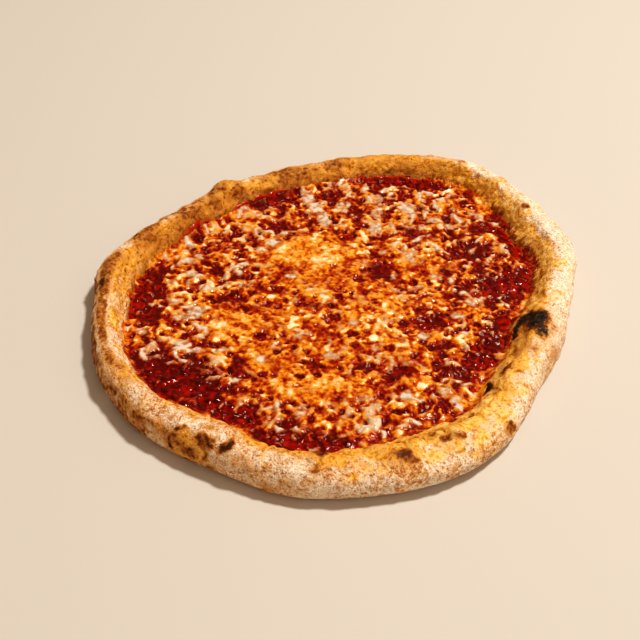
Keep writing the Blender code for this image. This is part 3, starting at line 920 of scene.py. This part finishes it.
def melt(spots):
    """How far the shreds ran together: 0 not at all, 1 into a film, and more where it pooled."""
    total = np.zeros(len(spots))
    for *oval, amount in MELTS:
        total = np.maximum(total, amount * (1.0 - ease(from_oval(spots, *oval), 0.55, 1.25)))
    return (total + 0.30 * ripple(spots, 13.0, 91.0)).clip(0.0, 1.3)


# %% [markdown]
# The cheese went on as shreds, 2 or 3 mm wide. Where many lay across each other they melted into a
# film. Where they lay apart, each is still a soft strand, and the sauce shows in the gaps. So the
# shreds are scattered here as they were by hand: each is a bent oval that adds to the thickness, and
# some stayed white.

# %% Scatter the shreds within reach of the hub, with their sizes in mm
SHREDS = 2600
SHRED_SEED = 11
REACH = 120.0
HALF_LENGTH = (0.5, 4.0)
HALF_WIDTH = (1.0, 2.2)
BEND = 0.08


def scatter_shreds(spots, melted, chance):
    """How thick the shreds lie at each point, in layers, and how white the whitest of them is."""
    thick = np.zeros(len(spots))
    white = np.zeros(len(spots))
    for _ in range(SHREDS):
        x = chance.uniform(-REACH, REACH)
        y = chance.uniform(-REACH, REACH)
        turn = chance.uniform(0.0, math.pi)
        half_length = chance.uniform(*HALF_LENGTH)
        half_width = chance.uniform(*HALF_WIDTH)
        bend = chance.uniform(-BEND, BEND)
        paleness = chance.uniform(-1.3, 1.2)
        near = np.flatnonzero(np.hypot(spots[:, 0] - x, spots[:, 1] - y) < half_length + 2.2 * half_width)
        if not len(near):
            continue
        right = spots[near, 0] - x
        ahead = spots[near, 1] - y
        along = right * math.cos(turn) + ahead * math.sin(turn)
        aside = ahead * math.cos(turn) - right * math.sin(turn) - bend * along**2
        away = np.hypot(aside, (np.abs(along) - half_length).clip(0.0, None)) / half_width
        strand = np.exp(-(away**2))
        thick[near] += strand
        white[near] = np.maximum(white[near], strand * paleness * (1.0 - 0.55 * melted[near]))
    return thick, white


print(SHREDS, "shreds, up to", 2 * (HALF_LENGTH[1] + HALF_WIDTH[1]), "mm long")

# %% Scatter the pits
PITS = 1600
PIT_SEED = 17
PIT_SIZE = (0.9, 2.1)


def scatter_pits(spots, chance):
    """Depth of the small round holes that steam left, from -1 on their soft raised lips to 3 inside."""
    deep = np.zeros(len(spots))
    for _ in range(PITS):
        x = chance.uniform(-REACH, REACH)
        y = chance.uniform(-REACH, REACH)
        size = chance.uniform(*PIT_SIZE)
        away = np.hypot(spots[:, 0] - x, spots[:, 1] - y) / size
        near = np.flatnonzero(away < 3.0)
        deep[near] += 1.6 * np.exp(-(away[near] ** 2)) - 0.4 * np.exp(-(((away[near] - 1.7) / 0.6) ** 2))
    return deep.clip(-1.0, 3.0)


print(PITS, "pits, up to", 2 * PIT_SIZE[1], "mm wide")

# %% Shreds where they lay apart, film where they melted, and pits in both
def cheese_layers(spots, inside, melted):
    """Height of the cheese over the sauce in mm, negative where the sauce shows, and its whiteness."""
    astray = wandered(wandered(spots, 6.0, 1.6, 31.0), 2.4, 0.5, 61.0)
    thick, white = scatter_shreds(astray, melted, random.Random(SHRED_SEED))
    pits = scatter_pits(wandered(spots, 3.0, 0.6, 131.0), random.Random(PIT_SEED))
    patchy = ripple(spots, 16.0, 43.0)
    rough = ripple(astray, 2.6, 17.0)
    print("shreds", thick.mean().round(2), "layers on average")
    strands = -0.10 + 1.00 * thick ** 0.6 + 0.35 * patchy + 0.25 * rough - 0.62 * pits
    burst = ease(ripple(astray, 5.0, 23.0) + 0.25 * patchy, 0.25, 0.55)
    film = 0.82 + 0.22 * thick ** 0.6 + 0.30 * patchy + 0.25 * rough + 0.3 * ripple(spots, 7.0, 3.0)
    film = film + 0.08 - 0.5 * burst - 0.18 * pits
    tops = mix(strands, film, melted) - 1.3 * (1.0 - ease(inside, -5.0, 6.0))
    return mix(-1.0, tops, ease(inside, -9.0, -5.0)), white


# %% [markdown]
# The photographed pizza has pale clumps of shreds that hardly melted, and burst bubbles that left dark
# holes. The largest are listed one by one, as ovals and circles with ragged edges.

# %% Clumps and holes, listed one by one: (x, y, half length, half width, direction), in mm from the hub
CLUMPS = (
    (-24, 93, 9, 5, 110), (-19, 84, 9, 5.4, 115), (-13, 73, 7, 4.6, 110), (-2, 87, 6, 5, 80),
    (19, 96, 7, 3.4, 90), (19, 82, 7, 4, 90), (17, 66, 7, 4.2, 85), (37, 88, 8, 6, 100),
    (53, 77, 5, 4, 20), (61, 73, 4, 3, 0), (45, 70, 4, 3, 0), (-77, 70, 7, 3.6, 20), (-80, 76, 4, 3, 60),
    (-42, 48, 5, 4, 30), (-49, 41, 4, 3, 0), (-37, 57, 4, 3, 60), (-89, 28, 6, 3, 0),
    (-83, 33, 4, 3, 30), (-86, 17, 4, 3, 20), (-93, -7, 6, 3, 10), (-80, -15, 7, 4.4, 20),
    (-88, -20, 4, 3, 0), (-84, -40, 6, 4, 0), (-75, -44, 5, 3, 10), (-42, -48, 4, 3, 0),
    (-6, -43, 4, 3.4, 0), (33, -69, 3.4, 5, 0), (53, -65, 3.6, 4.2, 0), (19, -77, 4, 3, 0),
    (10, -73, 4, 2.6, 20), (-20, -85, 4, 3, 0), (38, 41, 5, 3.2, 90), (51, 25, 4, 3, 0),
    (27, 24, 3, 2.6, 60), (12, 34, 2.8, 2.4, 0), (71, 5, 4, 3, 0), (67, 13, 3, 2.8, 0),
    (5, -17, 4, 2.8, 0), (43, -24, 4, 3, 0), (62, -7, 4, 2.6, 0), (-60, 20, 4, 2.8, 110),
    (-100, -46, 5, 2.4, 15), (-105, -33, 4, 2.2, -20), (-96, -50, 4, 2.4, 0), (-30, 20, 4, 2.8, 10),
)
# The holes are circles: (x, y, size).
HOLES = (
    (8, 20, 3.4), (19, 29, 4.6), (-44, -31, 3.2), (-21, -59, 2.6), (-40, -59, 2.4), (-5, -13, 3.0),
    (5, -25, 2.8), (-12, -57, 2.2), (39, 19, 3.0), (32, -15, 3.2), (25, -35, 2.8), (-33, -42, 2.4),
    (52, -12, 2.8), (15, -50, 3.0), (-3, 3, 2.4), (-38, 8, 2.8), (46, -33, 2.4), (58, 30, 2.6),
)


def ragged(spots, shapes):
    """How far inside the nearest of some ovals each point lies, in mm, with an uneven edge."""
    deep = np.full(len(spots), -9.0)
    for oval in shapes:
        deep = np.maximum(deep, (1.0 - from_oval(spots, *oval)) * oval[3])
    return deep + 1.7 * ripple(spots, 4.5, 101.0) + 0.8 * ripple(spots, 2.0, 107.0)


print(len(CLUMPS), "pale clumps and", len(HOLES), "burst bubbles")

# %% The sheet of cheese, its clumps and its holes
CHEESE_SPACING = 0.65
CHEESE_REACH = 124.0
CHEESE_START = 0.84
bm = sheet(CHEESE_SPACING, CHEESE_REACH, CHEESE_START)
spots = spots_of(bm)
radius, angle = about_hub(spots)
melted = melt(spots)
tops, white = cheese_layers(spots, cover(spots), melted.clip(None, 1.0))
tops += 1.6 * (melted - 1.0).clip(0.0, None)
clump = ease(ragged(spots, CLUMPS), -1.8, 2.2)
tops = mix(tops, 0.35 * tops + 0.75 + 0.3 * ripple(spots, 6.0, 45.0), clump)
white = np.maximum(white, clump * (0.85 + 0.5 * ripple(spots, 4.0, 47.0)))
hole = ease(ragged(spots, [(x, y, size, size, 0) for x, y, size in HOLES]), -0.6, 1.4)
tops = mix(tops, -0.4, hole)
print("cheese from", tops.min().round(2), "to", tops.max().round(2), "mm over the sauce")

# %% Thin it on the rim and set its height
CHEESE_MOST = 2.6
across = across_at(radius, angle)
on_rim = 1.0 - ease(past_edge(radius, angle), -0.5, 1.5)
tops = np.minimum(mix(tops, 0.35 * tops - 0.05, on_rim), CHEESE_MOST - 1.8 * on_rim)
tops = np.maximum(tops, mix(-1.8, -0.8, ease(across, 0.93, 1.0)))
spots[:, 2] = dough_height(across, angle) + sauce_body(radius, angle) + tops
move_to(bm, spots)
print("cheese up to", spots[:, 2].max().round(1), "mm high on", len(spots), "points")

# %% Tone it: patches, cream flecks away from the melted areas, and the pale shreds. Then close it
CHEESE_RINGS = ((0.86, -1.9), (0.95, -1.0), (1.02, 0.4))
# The thickness at which the film is cream.
CHEESE_PALEST = 2.2
tone = 0.20 * ripple(spots, 5.0, 57.0) + 0.20 * ripple(spots, 12.0, 59.0) - 0.08
flecks = ripple(wandered(spots, 5.0, 2.0, 73.0), 3.2, 71.0) + 0.35 * ripple(spots, 10.0, 75.0)
firm = ease(tops, 0.3, 1.0) * (1.0 - 0.6 * ease(melted, 0.7, 1.0))
tone += 0.50 * ease(flecks, 0.15, 0.60) * firm
paint(bm, "film", tops / CHEESE_PALEST + 0.04 + tone + 0.4 * on_rim)
paint(bm, "white", white * ease(tops, -0.1, 0.8))
close_below(bm, CHEESE_RINGS)
finish_piece(bm, "melted_cheese", mozzarella, "cheese")

# %% [markdown]
# ## Studio
#
# A plain floor in matt pale paint. The key light comes from the back right, small enough to draw each
# lump, a broad one from the front right opens the shadows, and a dim warm surrounding keeps the reds
# deep.

# %% Floor: half its width, in metres
FLOOR_REACH = 3.0


def pale_floor():
    bm = bmesh.new()
    bmesh.ops.create_grid(bm, x_segments=1, y_segments=1, size=FLOOR_REACH)
    mesh = bpy.data.meshes.new("floor")
    bm.to_mesh(mesh)
    bm.free()
    floor = bpy.data.objects.new("floor", mesh)
    bpy.context.scene.collection.objects.link(floor)
    material, tree = start_material("pale_floor")
    shader = add(tree, "BsdfPrincipled", {"Base Color": linear("#cdc8c0"), "Roughness": 0.8})
    add(tree, "OutputMaterial", {"Surface": shader.outputs[0]})
    mesh.materials.append(material)


pale_floor()
print("floor", 2 * FLOOR_REACH, "m wide")


# %% Lights: turn and lift in degrees, distance and size in metres
def area_light(name, turn, lift, far, size, strength, color):
    """A round soft light aimed at the pizza. Strength 1 makes a white sheet that faces it full white."""
    turn, lift = math.radians(turn), math.radians(lift)
    aim = Vector((math.cos(lift) * math.cos(turn), math.cos(lift) * math.sin(turn), math.sin(lift)))
    light = bpy.data.lights.new(name, "AREA")
    light.shape = "DISK"
    light.size = size
    light.energy = strength * math.pi**2 * far**2
    light.color = linear(color)[:3]
    lamp = bpy.data.objects.new(name, light)
    lamp.matrix_world = Matrix.Translation(aim * far) @ aim.to_track_quat("Z", "Y").to_matrix().to_4x4()
    bpy.context.scene.collection.objects.link(lamp)


area_light("key", turn=24.0, lift=67.0, far=2.2, size=0.26, strength=0.84, color="#fffaf2")
area_light("side", turn=-60.0, lift=35.0, far=2.0, size=3.0, strength=0.20, color="#fff0e0")

# %% Dim warm surroundings, and how the picture is developed
world = bpy.data.worlds.new("studio")
world.use_nodes = True
surroundings = world.node_tree.nodes["Background"].inputs
surroundings["Color"].default_value = linear("#ffdcb8")
surroundings["Strength"].default_value = 0.33
bpy.context.scene.world = world
bpy.context.scene.view_settings.view_transform = "Standard"
bpy.context.scene.view_settings.look = "Medium High Contrast"
